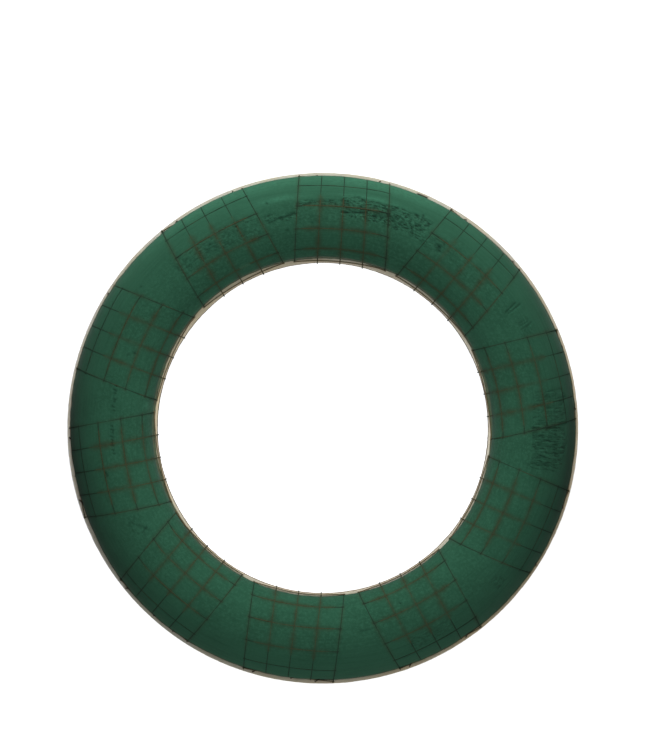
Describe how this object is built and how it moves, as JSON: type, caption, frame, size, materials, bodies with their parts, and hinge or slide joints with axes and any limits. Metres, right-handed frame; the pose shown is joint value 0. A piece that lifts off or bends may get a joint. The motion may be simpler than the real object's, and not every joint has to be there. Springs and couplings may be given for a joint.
{
  "type": "wreath frame",
  "caption": "Round wreath base: a half-round ring of wet floral foam on a flat fibreboard ring, bound down with patches of stapled welded wire mesh.",
  "frame": {"origin": "centre of the board ring on its flat back face, which is also the bottom centre of the whole part's box", "axes": "+Z out of the back face towards the foam's crown, +Y towards the top of the ring, +X to the right seen from the foam side"},
  "size_m": [0.5749, 0.575, 0.0451],
  "materials": {
    "fibreboard": "cream-tan pressed wood-fibre board, matt, with fibrous cut edges",
    "glue": "dried dark brown adhesive squeezed out at the foam's foot",
    "floral_foam": "dark green dry wet-foam, matt and finely pitted, rust-stained along the wires",
    "mesh_wire": "plain steel wire gone dark and rusty in places",
    "staple_wire": "flat steel staple wire, dull and slightly rusty"
  },
  "bodies": {
    "root": {"backing_board": "fibreboard", "glue_layer": "glue", "foam_ring": "floral_foam", "mesh_patch_01": "mesh_wire", "mesh_patch_02": "mesh_wire", "mesh_patch_03": "mesh_wire", "mesh_patch_04": "mesh_wire", "mesh_patch_05": "mesh_wire", "mesh_patch_06": "mesh_wire", "mesh_patch_07": "mesh_wire", "mesh_patch_08": "mesh_wire", "mesh_patch_09": "mesh_wire", "mesh_patch_10": "mesh_wire", "staples_front": "staple_wire", "staples_back": "staple_wire"}
  },
  "joints": []
}
